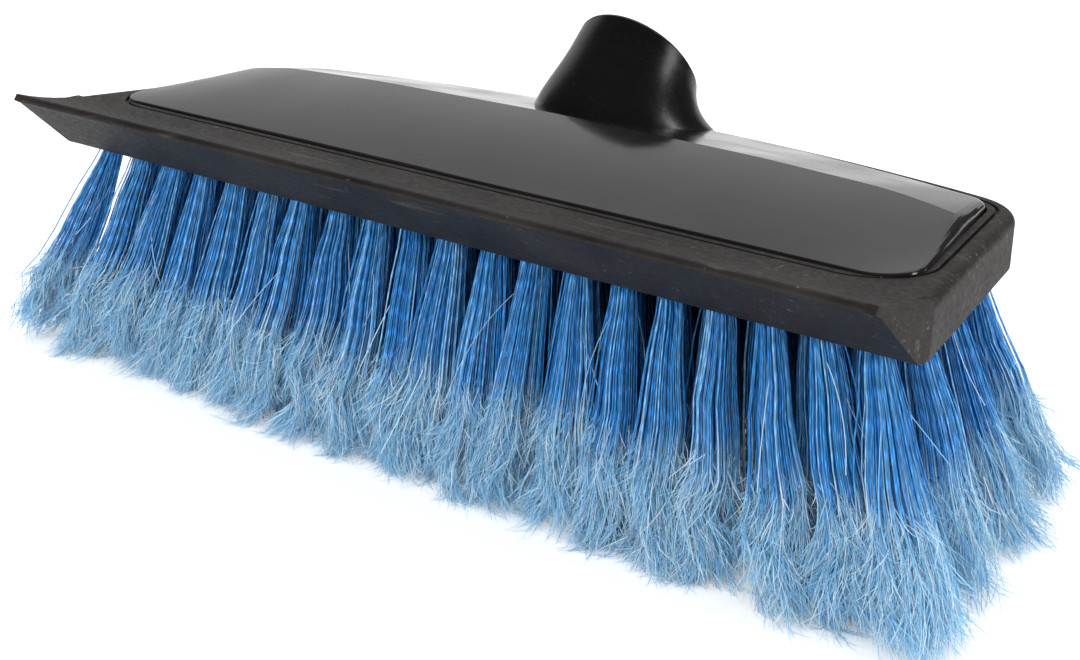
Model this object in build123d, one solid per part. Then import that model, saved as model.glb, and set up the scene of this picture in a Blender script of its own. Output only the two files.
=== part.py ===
from build123d import *
import os
from math import atan, cos, pi, radians, sin, sqrt, tan

# Wash brush head with a squeegee blade, in millimetres.
# X runs along the head, -Y is the squeegee side, +Y is the pole side, +Z is up.
# While it is built, z = 0 is the underside of the rubber and x = 0 is the middle of the head.
# At the end all pieces are moved alike: the origin is under the middle of the brush, on the floor.

# Cover outline, seen from above
cover_front_half = 119.3     # half length along the front edge
cover_front_y = -37.5
cover_back_y = 41.5          # back edge in the middle
cover_back_end_y = 26.5      # back edge at the ends, which it bows down to
end_taper_deg = 12.5         # each end leans in towards the back
cover_front_r = 12.0
cover_back_r = 8.0

# Cover, a low crowned roof that flattens out at its ends
bevel_z = 12.7               # foot of the bevel round the rim
front_rim_z = 13.3           # height of the roof at the front edge
back_rim_z = 13.0
bevel_deg = 45.0
ridge_y = 2.5
ridge_z = 20.3               # ridge height in the middle of the head
ridge_shares = (             # place along the half length, height of the ridge above the front rim
    (0, 1),
    (0.5, 0.91),
    (0.78, 0.74),
    (0.91, 0.46),
    (0.98, 0.14),
    (1.05, 0.02),
)
cover_wall = 2.5
skirt_z = 9.0                # bottom of the cover's skirt
rib_t = 1.8
boss_r = 4.0

# Rubber surround
rubber_front_grow = 8.8      # rubber outside the cover
rubber_end_grow = 7.0
rubber_back_grow = 6.0
rubber_front_r = 4.0
rubber_back_r = 18.0
rubber_top_z = 12.0
rubber_edge_r = 2.4
rubber_gap = 0.5             # open groove between rubber and cover
tongue_z = 6.5               # underside of the tongue that is clamped under the skirt
tongue_in = 2.5              # how far the tongue reaches inside the cover's outline
groove_in = 2.2              # second, shallow groove in the rubber, from the cover's edge
groove_w = 0.9
groove_depth = 0.7

# Squeegee blade, a flared lip along the front
lip_reach = 16.0             # from the rubber's bottom edge to the lip's crease
lip_rise = 3.5               # crease above the rubber's top
lip_nose = 1.0
lip_edge_share = 0.6         # place of the nose on the lip's edge
lip_edge = 2.6               # height of the lip's edge
lip_end_in = 1.9             # the lip is this much shorter than the rubber at each end
lip_hollow_shares = (0.5, 0.38)   # point on the lip's hollow upper face, along its reach and rise

# Block that carries the tufts
block_front_grow = 5.5       # block outside the cover's outline
block_end_grow = 4.0
block_back_grow = 2.8
block_front_r = 6.0
block_back_r = 9.0
block_z = 1.0                # set back from the rubber's underside
block_top_z = 9.7
fit_gap = 0.3

# Tufts
tufts_in_row = 20
tuft_rows = 8
last_row_tufts = 11
row_end_in = 4.25            # last tuft's distance from the cover's front corner, along the head
front_row_out = 2.2          # front row, in front of the cover's front edge
long_row_in = 1.4            # last long row, from the back edge's ends
last_row_in = 5.6            # short row, from the back edge's middle
tuft_hole_r = 2.5
tuft_hole_sides = 4          # the wire lies from corner to corner
tuft_hole_depth = 4.5
strip_w = 6.0                # slice of the block that carries one row
strip_t = 1.2
strand_sink = 0.6            # how far a strand is rooted in its slice
strand_sides = 3
strand_root = 1.3            # radius of a strand at the block
strand_tip = 2.8             # radius of a strand at its frayed tip
strand_length = 58.5
tip_trim = 1.5               # the tips are trimmed flat, this much short of a straight strand's end
end_fan = 22.0               # outward lean of the end tufts at their tips
side_fan = 12.0              # outward lean of the outer rows at their tips
root_spread = 1.55
tip_spread = 3.1
fan_shares = (0.4, 0.6)      # even and rising part of the fan along the head
strand_shares = ((-0.95, -0.6), (0.95, -0.6), (0, 1.0))
two_strand_shares = ((-0.95, 0), (0.95, 0))

# Pole socket
base_in = 9.1                # base centre, from the cover's back edge
base_flare = 7.0             # the base's radius beyond the mouth's
base_sink = 1.0              # the flare starts inside the cover and is trimmed to its slope
mouth_back = 5.6             # mouth centre behind and above the base centre
mouth_rise = 13.8
mouth_r = 16.9
mouth_lean_deg = 51.5        # pole axis from the vertical, towards the back
hood_shares = (              # rise, way back, extra radius and lean of the rings between base and mouth
    (0.235, 0.184, 0.645, 0.259),
    (0.49, 0.402, 0.32, 0.512),
)
hood_over = 8.5              # hood behind the cover's back edge
bore_r = 9.5
bore_depth = 19.0
bore_floor = 2.0
bore_wall = 4.0              # to the boss's corners
bore_chamfer = 1.4

# Fasteners
screw_r = 1.75
screw_head_r = 2.9
screw_head_t = 2.2
cover_screw_bite = 5.0       # length in the cover's boss
cover_screw_row_shares = (0.4167, 0.75)         # between the tufts, from the first to the last long row
cover_screw_column_shares = (-0.8158, -0.2368, 0.2368, 0.8158)
screw_sides = 8
socket_screw_front = 9.4     # front pair, from the base centre
socket_screw_back = 0.1
socket_screw_bite = 3.0
anchor_r = 0.6               # wire across the tuft's hole, drawn with few sides
anchor_sides = 3
anchor_z = 4.0

overrun = 40.0               # how far cutting solids pass the material

taper = tan(radians(end_taper_deg))
row_end = cover_front_half - row_end_in
tuft_pitch = 2 * row_end / (tufts_in_row - 1)
front_row_y = cover_front_y - front_row_out
row_pitch = (cover_back_end_y - long_row_in - front_row_y) / (tuft_rows - 2)
back_slope = (ridge_z - back_rim_z) / (cover_back_y - ridge_y)
base_y = cover_back_y - base_in
base_z = ridge_z - back_slope * (base_y - ridge_y)


def side_x(y, grow=0.0):
    """Half length of the head at y, on its tapered end, grown outwards."""
    return cover_front_half - taper * (y - cover_front_y) + grow / cos(radians(end_taper_deg))


def plan(front_grow, end_grow, back_grow, front_r, back_r):
    """Outline of the head from above, grown and rounded as asked."""
    front_y = cover_front_y - front_grow
    back_y = cover_back_end_y + back_grow
    front_x = side_x(front_y, end_grow)
    back_x = side_x(back_y, end_grow)
    edges = Polyline((-back_x, back_y), (-front_x, front_y), (front_x, front_y), (back_x, back_y))
    edges += ThreePointArc((back_x, back_y), (0, cover_back_y + back_grow), (-back_x, back_y))
    face = make_face(edges)
    face = fillet(face.vertices().group_by(Axis.Y)[-1], back_r)
    return fillet(face.vertices().group_by(Axis.Y)[0], front_r)


def cover_slab(grow, low, high):
    """Upright slab of the cover's outline, offset by grow, between two heights."""
    face = plan(0, 0, 0, cover_front_r, cover_back_r)
    if grow:
        face = offset(face, amount=grow, kind=Kind.ARC)
    return Pos(0, 0, low) * extrude(face, high - low)


def roof(drop):
    """Crowned roof that reaches past the outline all round, lowered by drop."""
    bow = (cover_back_y - cover_back_end_y) / side_x(cover_back_end_y) ** 2
    places = [(-share, height) for share, height in reversed(ridge_shares[1:])] + list(ridge_shares)
    sections = []
    for share, height in places:
        x = share * cover_front_half
        points = [
            (cover_front_y - overrun, -overrun),
            (cover_front_y - overrun, front_rim_z - drop),
            (cover_front_y, front_rim_z - drop),
            (ridge_y, front_rim_z + (ridge_z - front_rim_z) * height - drop),
            (cover_back_y - bow * x * x, back_rim_z - drop),
            (cover_back_y + overrun, back_rim_z - drop),
            (cover_back_y + overrun, -overrun),
        ]
        sections.append(Plane.YZ.offset(x) * make_face(Polyline(*points, close=True)))
    return loft(sections, ruled=True)


def cover_blank():
    """Outer form of the cover, without its hollow."""
    rim = extrude(plan(0, 0, 0, cover_front_r, cover_back_r), cover_back_r, taper=bevel_deg)
    upper = Pos(0, 0, bevel_z) * rim & roof(0)
    return cover_slab(0, skirt_z, bevel_z) + upper


def row_y(row):
    """Place of a row, or of a point between rows."""
    if row == tuft_rows - 1:
        return cover_back_y - last_row_in
    return front_row_y + row * row_pitch


def row_places(row):
    """Tuft places of one row; every other row stands between the tufts of its neighbours."""
    y = row_y(row)
    count = last_row_tufts if row == tuft_rows - 1 else tufts_in_row - row % 2
    draw = 1 - taper * (y - front_row_y) / row_end
    return [((column - (count - 1) / 2) * tuft_pitch * draw, y) for column in range(count)]


def tuft_places():
    return [place for row in range(tuft_rows) for place in row_places(row)]


def cover_screw_places():
    """Screws that join block and cover, each between tufts of two rows."""
    places = []
    for share in cover_screw_row_shares:
        y = row_y(share * (tuft_rows - 2))
        draw = 1 - taper * (y - front_row_y) / row_end
        places += [(column * row_end * draw, y) for column in cover_screw_column_shares]
    return places


def socket_screw_places():
    x = bore_r + bore_wall + fit_gap + screw_r
    return [(side * x, base_y + way) for side in (-1, 1) for way in (-socket_screw_front, socket_screw_back)]


def bar(r, length):
    """Upright bar of few sides, for screws, bosses and their holes."""
    return extrude(RegularPolygon(r, screw_sides), length)


def back_height(y):
    """Height of the cover's back slope on the middle line."""
    return ridge_z - back_slope * (y - ridge_y)


def hood_plane(rise, back, lean_share, depth=0.0):
    """Plane of a ring of the hood, from its base (0, 0, 0) to its mouth (1, 1, 1)."""
    base_lean = atan(back_slope)
    lean = base_lean + (radians(mouth_lean_deg) - base_lean) * lean_share
    axis = Vector(0, sin(lean), cos(lean))
    centre = Vector(0, base_y + mouth_back * back, base_z + mouth_rise * rise)
    return Plane(origin=centre - axis * depth, x_dir=(1, 0, 0), z_dir=axis)


def mouth_plane(depth=0.0):
    """Plane across the pole hole, depth below its mouth, with its Z out of the mouth."""
    return hood_plane(1, 1, 1, depth)


def bore_boss(clear=0.0):
    """Boss inside the hood that holds the threaded hole."""
    length = bore_depth + bore_floor + clear
    return mouth_plane(length) * bar(bore_r + bore_wall + clear, length)


def top_cover(blank):
    inner = cover_slab(-cover_wall, skirt_z - overrun, ridge_z + overrun) & roof(cover_wall)
    solid = blank - inner
    length = 2 * boss_r + tuft_pitch
    rib_z = block_top_z + cover_wall
    stiffeners = []
    for x, y in cover_screw_places():
        stiffeners.append(Pos(x, y, block_top_z) * bar(boss_r, overrun))
        for size in ((length, rib_t), (rib_t, length)):
            stiffeners.append(Pos(x, y, rib_z) * extrude(Rectangle(*size), overrun))
    room = cover_slab(-cover_wall, block_top_z, ridge_z + overrun) & roof(cover_wall / 2)
    solid += (Part() + stiffeners) & room
    cuts = [Pos(x, y, block_top_z) * bar(screw_r, cover_screw_bite) for x, y in cover_screw_places()]
    cuts += [Pos(x, y, skirt_z) * bar(screw_r + fit_gap, overrun) for x, y in socket_screw_places()]
    return solid.cut(*cuts, bore_boss(fit_gap))


def pole_socket(blank):
    """Hood: a flared base on the back slope that bends over into the round mouth."""
    sections = [mouth_plane() * Circle(mouth_r)]
    for rise, back, extra, lean in reversed(hood_shares):
        sections.append(hood_plane(rise, back, lean) * Circle(mouth_r + base_flare * extra))
    sections.append(hood_plane(0, 0, 0, base_sink) * Circle(mouth_r + base_flare))
    hood = loft(sections, ruled=True)
    room = cover_slab(0, 0, ridge_z + overrun) & roof(0)
    boss = bore_boss() & (hood + room)
    back_cut = Pos(0, cover_back_y + hood_over, 0) * Box(
        overrun * 2, overrun, overrun * 3, align=(Align.CENTER, Align.MIN, Align.CENTER)
    )
    low_cut = Pos(0, 0, rubber_top_z + fit_gap) * Box(
        overrun * 2, overrun * 3, overrun, align=(Align.CENTER, Align.CENTER, Align.MAX)
    )
    solid = hood - blank - back_cut - low_cut + boss
    solid -= mouth_plane(bore_depth) * extrude(Circle(bore_r), bore_depth + overrun)
    solid = chamfer(bore_rim(solid), bore_chamfer)
    for x, y in socket_screw_places():
        depth = back_height(y) + socket_screw_bite - skirt_z
        solid -= Pos(x, y, skirt_z) * bar(screw_r, depth)
    return solid


def bore_rim(solid):
    """Round edge of the pole hole in the plane of the mouth."""
    centre = mouth_plane().origin
    rims = [edge for edge in solid.edges().filter_by(GeomType.CIRCLE) if (edge.arc_center - centre).length < fit_gap]
    return min(rims, key=lambda edge: edge.radius)


def blade():
    """Squeegee blade: hollow upper face, crease, short front edge and slanting underside."""
    front_y = cover_front_y - rubber_front_grow
    inner_y = front_y + rubber_front_r
    crease_y = front_y - lip_reach
    crease_z = rubber_top_z + lip_rise
    along, up = lip_hollow_shares
    hollow = (front_y - lip_reach * along, rubber_top_z + lip_rise * up)
    edges = ThreePointArc((front_y, rubber_top_z), hollow, (crease_y, crease_z))
    edges += Polyline(
        (crease_y, crease_z),
        (crease_y - lip_nose, crease_z - lip_edge * lip_edge_share),
        (crease_y + lip_nose, crease_z - lip_edge),
        (front_y, 0),
        (inner_y, 0),
        (inner_y, rubber_top_z),
        (front_y, rubber_top_z),
    )
    half = side_x(front_y, rubber_end_grow)
    inner_x = side_x(inner_y, rubber_end_grow)
    solid = extrude(Plane.YZ * make_face(edges), half, both=True)
    tip_x = half - lip_end_in
    tip_y = crease_y - lip_nose
    trim = make_face(Polyline((-inner_x, inner_y), (-tip_x, tip_y), (tip_x, tip_y), (inner_x, inner_y), close=True))
    return solid & Pos(0, 0, -overrun) * extrude(trim, overrun * 2)


def squeegee_surround():
    face = plan(rubber_front_grow, rubber_end_grow, rubber_back_grow, rubber_front_r, rubber_back_r)
    body = extrude(face, rubber_top_z)
    body = fillet(body.edges().group_by(Axis.Z)[-1], rubber_edge_r)
    body += blade()
    body -= block_slab(fit_gap, -overrun, tongue_z)
    body -= cover_slab(rubber_gap, skirt_z, overrun)
    body -= cover_slab(-tongue_in, -overrun, overrun)
    groove_z = rubber_top_z - groove_depth
    return body - (cover_slab(groove_in + groove_w, groove_z, overrun) - cover_slab(groove_in, 0, overrun * 2))


def block_slab(gap, low, high):
    """Upright slab of the block's outline, with a gap round it, between two heights."""
    grows = [grow + gap for grow in (block_front_grow, block_end_grow, block_back_grow)]
    face = plan(*grows, block_front_r + gap, block_back_r + gap)
    return Pos(0, 0, low) * extrude(face, high - low)


def bristle_block():
    body = block_slab(0, block_z, tongue_z)
    body += cover_slab(-tongue_in - fit_gap, tongue_z, block_top_z)
    hole = extrude(RegularPolygon(tuft_hole_r, tuft_hole_sides), tuft_hole_depth)
    cuts = [strip_blank(row) for row in range(tuft_rows)]
    cuts += [Pos(x, y, block_z) * hole for x, y in tuft_places()]
    head_z = block_z + strip_t + screw_head_t
    for x, y in cover_screw_places():
        cuts.append(Pos(x, y, 0) * bar(screw_r + fit_gap, overrun))
        cuts.append(Pos(x, y, 0) * bar(screw_head_r + fit_gap, head_z))
    for x, y in socket_screw_places():
        pocket_z = socket_screw_seat(y) - screw_head_t - fit_gap
        cuts.append(Pos(x, y, pocket_z) * bar(screw_head_r + fit_gap, overrun))
    return body.cut(*cuts, bore_boss(fit_gap))


def strip_blank(row):
    """Slice of the block's underside that carries one row of tufts."""
    x_end, y = row_places(row)[-1]
    strip = Box(2 * x_end + strip_w, strip_w, strip_t, align=(Align.CENTER, Align.CENTER, Align.MIN))
    return Pos(0, y, block_z) * strip


def tip_lean(x, y):
    """Outward lean of a tuft, from its root to its tip."""
    along = x / row_end
    middle_y = row_y((tuft_rows - 2) / 2)
    across = (y - middle_y) / (middle_y - front_row_y)
    even, rising = fan_shares
    return end_fan * (even * along + rising * along ** 3), side_fan * across


def strand(x, y, off_x, off_y):
    """One strand of few flat sides that widens from its slice to its tip, cut flat at both ends."""
    lean_x, lean_y = tip_lean(x, y)
    drop = min(sqrt(strand_length ** 2 - lean_x ** 2 - lean_y ** 2), strand_length - tip_trim)
    root = Vector(x + off_x * root_spread, y + off_y * root_spread, block_z + strand_sink)
    tip = Vector(x + off_x * tip_spread + lean_x, y + off_y * tip_spread + lean_y, block_z - drop)
    top, bottom = [], []
    for side in range(strand_sides):
        turn = 2 * pi * side / strand_sides
        way = Vector(sin(turn), cos(turn), 0)
        top.append(root + way * strand_root)
        bottom.append(tip + way * strand_tip)
    rings = [top, bottom]
    for side in range(strand_sides):
        after = (side + 1) % strand_sides
        rings.append([top[side], top[after], bottom[after], bottom[side]])
    return Solid(Shell([Face(Wire.make_polygon(ring, close=True)) for ring in rings]))


def tuft_row(row):
    """One row of tufts, two or three strands a tuft, on its slice of the block."""
    heads = [Pos(x, y, 0) * bar(screw_head_r + fit_gap, overrun) for x, y in cover_screw_places()]
    strip = strip_blank(row).cut(*heads)
    shares = strand_shares if row in (0, tuft_rows - 1) else two_strand_shares
    strands = [strand(x, y, a, b) for x, y in row_places(row) for a, b in shares]
    return strip.fuse(*strands)


def screw(length):
    """Pan-head screw, head down, with its seat at z = 0."""
    head = Pos(0, 0, -screw_head_t) * bar(screw_head_r, screw_head_t)
    head = chamfer(head.edges().group_by(Axis.Z)[0], screw_head_t / 3)
    return head + bar(screw_r - fit_gap, length)


def cover_screws():
    seat = block_z + strip_t + screw_head_t
    length = block_top_z + cover_screw_bite - fit_gap - seat
    return Compound([Pos(x, y, seat) * screw(length).solid() for x, y in cover_screw_places()])


def socket_screw_seat(y):
    """Height of a socket screw's seat, under the cover's back slope."""
    return back_height(y + screw_head_r) - cover_wall - fit_gap


def socket_screws():
    screws = []
    for x, y in socket_screw_places():
        seat = socket_screw_seat(y)
        length = back_height(y) + socket_screw_bite - fit_gap - seat
        screws.append(Pos(x, y, seat) * screw(length).solid())
    return Compound(screws)


def tuft_anchors():
    half = tuft_hole_r - anchor_r
    anchor = extrude(Plane.YZ * RegularPolygon(anchor_r, anchor_sides), half, both=True)
    return Compound([Pos(x, y, anchor_z) * anchor.solid() for x, y in tuft_places()])


blank = cover_blank()
parts = {
    "top_cover": top_cover(blank),
    "pole_socket": pole_socket(blank),
    "squeegee_surround": squeegee_surround(),
    "bristle_block": bristle_block(),
    "cover_screws": cover_screws(),
    "socket_screws": socket_screws(),
    "tuft_anchors": tuft_anchors(),
}
for row in range(tuft_rows):
    parts["tuft_row_%d" % (row + 1)] = tuft_row(row)

boxes = [solid.bounding_box() for solid in parts.values()]
low_y = min(box.min.Y for box in boxes)
high_y = max(box.max.Y for box in boxes)
low_z = min(box.min.Z for box in boxes)
os.makedirs("parts", exist_ok=True)
for name, solid in parts.items():
    export_step(Pos(0, -(low_y + high_y) / 2, -low_z) * solid, "parts/" + name + ".step")
print("moved by", -(low_y + high_y) / 2, -low_z)
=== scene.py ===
import math

import bpy
import numpy as np
from mathutils import Matrix


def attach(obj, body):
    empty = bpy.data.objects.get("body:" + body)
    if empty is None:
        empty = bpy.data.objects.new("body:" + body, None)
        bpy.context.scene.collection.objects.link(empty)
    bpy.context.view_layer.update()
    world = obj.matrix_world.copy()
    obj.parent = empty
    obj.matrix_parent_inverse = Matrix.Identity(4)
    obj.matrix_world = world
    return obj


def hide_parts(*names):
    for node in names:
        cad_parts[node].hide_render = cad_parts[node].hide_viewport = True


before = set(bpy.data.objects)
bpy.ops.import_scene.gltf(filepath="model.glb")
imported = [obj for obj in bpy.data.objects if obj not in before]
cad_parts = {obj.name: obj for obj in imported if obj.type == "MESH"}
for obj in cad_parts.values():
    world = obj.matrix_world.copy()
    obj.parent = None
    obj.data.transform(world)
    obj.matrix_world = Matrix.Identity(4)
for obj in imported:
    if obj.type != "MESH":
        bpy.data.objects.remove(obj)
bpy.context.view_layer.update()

# Sizes are in millimetres from the brush's own origin, which the frame holds at FRAME_SHIFT
PER_METRE = 1000.0
FRAME_SHIFT = np.array((0.0, 2.75, 56.0))

# Cover: its outline from above
COVER_FRONT_HALF = 119.3
COVER_FRONT_Y = -37.5
COVER_BACK_Y = 41.5
COVER_BACK_END_Y = 26.5
COVER_GROW = 1.2
FRONT_CORNER_R = 9.5
BACK_CORNER_R = 8.0
BACK_POINTS = 41
FRONT_CORNER_POINTS = 17
BACK_CORNER_POINTS = 15
CORNER_TRIM = 4
END_TAPER = math.tan(math.radians(12.5))
COVER_BACK_HALF = COVER_FRONT_HALF - END_TAPER * (COVER_BACK_END_Y - COVER_FRONT_Y)
COVER_BACK_BOW = (COVER_BACK_Y - COVER_BACK_END_Y) / COVER_BACK_HALF ** 2

# Cover: its roof, rim and wall. A ridge share is the ridge's height at a share of the half length
RIDGE_Y = 2.5
RIDGE_Z = 20.3
RIDGE_SHARES = ((0, 1), (0.5, 0.91), (0.78, 0.74), (0.91, 0.46), (0.98, 0.14), (1.05, 0.02))
FRONT_CROWN = 0.62
PLATE_RIM_Z = 12.5
PLATE_BACK_Z = 13.3
RIM_FOOT_Z = 12.2
RIM_ROUNDING = 1.1
RIM_NARROWEST = 0.5
RIM_WIDEST = 3.0
SKIRT_Z = 9.0
COVER_WALL = 1.8

# Cover: how its outline is inset and cut into strips before it is raised
RIM_INSETS = (0.1, 0.15, 0.25, 0.4, 0.6, 0.8, 1.0, 1.2, 1.4, 1.5)
STRIP_END_X = 114
STRIP_WIDTH = 6
STRIP_END_Y = 32.5
STRIP_DEPTH = 5
LAST_CUT_Y = 37

# Hood. The shares are taken at even steps from its base to its mouth
BACK_RIM_Z = 13.0
BASE_Y = 32.4
BASE_FLARE = 6.4
MOUTH_BACK = 5.6
MOUTH_RISE = 13.8
MOUTH_R = 16.9
MOUTH_LEAN = math.radians(51.5)
HOOD_BACK_Y = 50.0
HOOD_LOW_Z = 12.3
HOOD_RISE_SHARES = (0, 0.235, 0.49, 0.75, 1)
HOOD_BACK_SHARES = (0, 0.184, 0.402, 0.663, 1)
HOOD_FLARE_SHARES = (1, 0.706, 0.35, 0.122, 0)
HOOD_TURN_SHARES = (0, 0.259, 0.512, 0.759, 1)
HOOD_FIRST_SHARE = -0.09
HOOD_LAST_SHARE = 0.965
HOOD_RINGS = 20
HOOD_SIDES = 96

# Pole hole. A lip's ring has its depth below the mouth, and its inset from MOUTH_R or outset from BORE_R
BORE_R = 9.5
BORE_DEPTH = 19.0
BORE_WALL_GAP = 0.1
LIP_OUTER = ((0.9, -0.02), (0.45, 0.12), (0.15, 0.4), (0.0, 0.85), (0.0, 1.5))
LIP_INNER = ((0.0, 1.9), (0.15, 1.5), (1.5, BORE_WALL_GAP), (BORE_DEPTH, BORE_WALL_GAP))
THREAD_PITCH = 5.08
THREAD_TURNS = 3
THREAD_STEPS = 48
THREAD_DEPTH = 1.15
THREAD_ROOT = 0.3
CREST_HALF = 0.6
ROOT_HALF = 1.3
THREAD_FLOOR_GAP = 1.6

# Vertices nearer than this are merged
MERGE_GAP = 0.002

# Rubber surround: the blade's long edges that are softened
BLADE_SOFT_X = 124.0
BLADE_EDGE_R = 0.9
BLADE_EDGE_LENGTH = 200
BLADE_TIP_Y = -55
BLADE_ROOT_Y = -44.5
BLADE_ROOT_Z = 1

# Bristles: rows and tufts
ROW_COUNT = 8
TUFTS_IN_ROW = 20
LAST_ROW_TUFTS = 11
ROW_END = 115.05
ROW_PITCH = 10.8
FRONT_ROW_Y = -39.7
LAST_ROW_Y = 35.9
ROW_MIDDLE_Y = FRONT_ROW_Y + 3 * ROW_PITCH
FAN_X = 22.0
FAN_Y = 12.0
FAN_EVEN_SHARE = 0.4
TUFT_SPREAD = 7.3
END_TUFT_SPREAD = 9.0

# Bristles: strands in a tuft, hairs that each frays into, and stray hairs in the tuft
OUTER_TUFT = (130, 18, 4)
MIDDLE_TUFT = (96, 11, 2)
INNER_TUFT = (52, 9, 0)
FRONT_HAIRS = 24
END_TUFT_STRANDS = 150
ROW_SEED = 4100
WANDER_SEED = 77
CURL_SEED = 78

# Bristles: one strand
STRAND_RINGS = 9
STRAND_LENGTH = 58.5
STRAND_ROOT_Z = 1.4
TUFT_DROP = 57.0
STRAND_DROP = (30.0, 57.4)
STRAND_RADIUS = (0.16, 0.235)
STRAND_THINNED = 0.7
THINNED_FROM = (0.6, 1.0)
HOLE_R = 2.3
OPENING_POWER = 0.92
LEAN_POWER = 1.1
CRIMP_PITCH = 5.0
PALE_FROM = (0.54, 0.68)
WANDER_LENGTH = 16.0
WAVE_RANGE = (0.6, 1.5)
WANDER_SHAFT = 0.25
WANDER_TIP = 1.5
WANDER_TIP_FROM = (0.5, 1.0)
ROOT_RELEASE = 5

# Bristles: how uneven the tufts and strands are
LEAN_JITTER_X = 1.2
LEAN_JITTER_Y = 0.8
SPREAD_JITTER = (0.92, 1.08)
OUTLIER_SHARE = 0.12
OUTLIER_REACH = 1.35
LOCKS_IN_TUFT = (5, 9)
LOCK_NEAREST = 0.3
LOCK_RANGE = 0.65
LOCK_PULL = (0.1, 0.45)
LOCK_LONGER = (-2.6, 0.6)
STRAND_LONGER = 0.9
SWAY = 0.6
FADE_JITTER = 0.05
TUFT_FADE_JITTER = 0.025
CRIMP_JITTER = 1.15

# Bristles: frayed hairs and strays
HAIR_RINGS = 4
HAIR_LENGTH = (3.5, 10.0)
HAIR_WIDTH = (0.08, 0.2)
HAIR_TIP = 0.3
HAIR_FIRST = 0.53
HAIR_RANGE = 0.44
HAIR_CROWDING = 0.75
HAIR_FORWARD = 0.9
HAIR_THROW = np.array((0.23, 0.23, 0.12))
HAIR_CURL = np.array((0.32, 0.32, 0.22))
HAIR_WANDER = 0.27
HAIR_PALE_FROM = (0.5, 0.64)
HAIR_PALE_GAIN = 0.1
HAIR_PALE_JITTER = 0.06
HAIR_LOW_Z = -55.7
HAIR_LOW_JITTER = 0.2
CURL_LENGTH = 9.0
STRAY_RINGS = 8
STRAY_LENGTH = (16.0, 34.0)
STRAY_WIDTH = 0.19
STRAY_FROM_RINGS = (1, 4)
STRAY_PALE = (0.5, 1.0)
STRAY_FORWARD = 0.95
STRAY_THROW = np.array((0.22, 0.22, 0.1))
STRAY_CURL = np.array((0.16, 0.16, 0.1))
STRAY_LOW_Z = -55.5

# Bristles: where the fan is held back, in the frame's millimetres, and points on each fibre's rings
FAN_HELD_X = (139.0, 149.5)
FAN_HELD_Y = (57.0, 63.6)
GROUND_GAP = 0.2
TUBE_SIDES = 3
RIBBON_SIDES = 2

# The photograph's viewpoint
LENS_LENGTH = 59.695
SENSOR_WIDTH = 36.0
EYE = (267.7, -334.9, 115.0)
EYE_RIGHT = (0.7756, 0.6307, 0.0240)
EYE_FORWARD = (-0.5892, 0.7371, -0.3310)

# Studio: brightness of the floor to the camera, and of the surroundings to surfaces and in reflections
FLOOR_GLOW = 0.35
WORLD_LIGHT = 0.8
WORLD_MIRRORED = 0.05

# Dust and scuffs
DUST_SCALE = 900.0
DUST_COLOR = (0.2, 0.185, 0.165, 1)
SCUFF_COLOR = (0.15, 0.135, 0.12, 1)


def smoothstep(low, high, value):
    share = np.clip((value - low) / (high - low), 0.0, 1.0)
    return share * share * (3.0 - 2.0 * share)


def metres(point):
    """A point in the brush's millimetres, in the frame's metres."""
    return tuple((np.array(point) + FRAME_SHIFT) / PER_METRE)


# Bristles
def row_places(row):
    """Tuft places of one row, as the block has them."""
    last = row == ROW_COUNT - 1
    y = LAST_ROW_Y if last else FRONT_ROW_Y + row * ROW_PITCH
    count = LAST_ROW_TUFTS if last else TUFTS_IN_ROW - row % 2
    draw = 1.0 - END_TAPER * (y - FRONT_ROW_Y) / ROW_END
    pitch = 2 * ROW_END / (TUFTS_IN_ROW - 1) * draw
    return [((column - (count - 1) / 2) * pitch, y) for column in range(count)]


def tuft_lean(x, y):
    """Outward lean of a tuft from root to tip, which grows towards the ends."""
    along = x / ROW_END
    across = (y - ROW_MIDDLE_Y) / (ROW_MIDDLE_Y - FRONT_ROW_Y)
    return FAN_X * (FAN_EVEN_SHARE * along + (1 - FAN_EVEN_SHARE) * along ** 3), FAN_Y * across


def make_wander(rng, wavelength, count=9):
    """A smooth wandering push, alike for neighbouring fibres, so that they hang together in locks."""
    waves = rng.normal(0, 1, (count, 3))
    frequencies = (math.tau / wavelength) * rng.uniform(*WAVE_RANGE, (count, 1))
    waves *= frequencies / np.linalg.norm(waves, axis=1, keepdims=True)
    pushes = rng.normal(0, 1, (count, 3)) * (2.0 / count) ** 0.5
    phases = rng.random(count) * math.tau

    def wander(points):
        return np.sin(points @ waves.T + phases) @ pushes

    return wander


def limit(values, inner, outer):
    """Holds values softly inside plus or minus outer."""
    size = np.abs(values)
    room = outer - inner
    held = np.where(size > inner, inner + room * (1.0 - np.exp(-(size - inner) / room)), size)
    return np.sign(values) * held


def on_circle(angle, reach):
    """Points at their angles and reaches from a centre."""
    return np.stack((np.cos(angle) * reach, np.sin(angle) * reach), axis=1)


def spread_out(values, times):
    """One value a ring as one value a vertex."""
    return np.repeat(values.reshape(-1), times)


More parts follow.
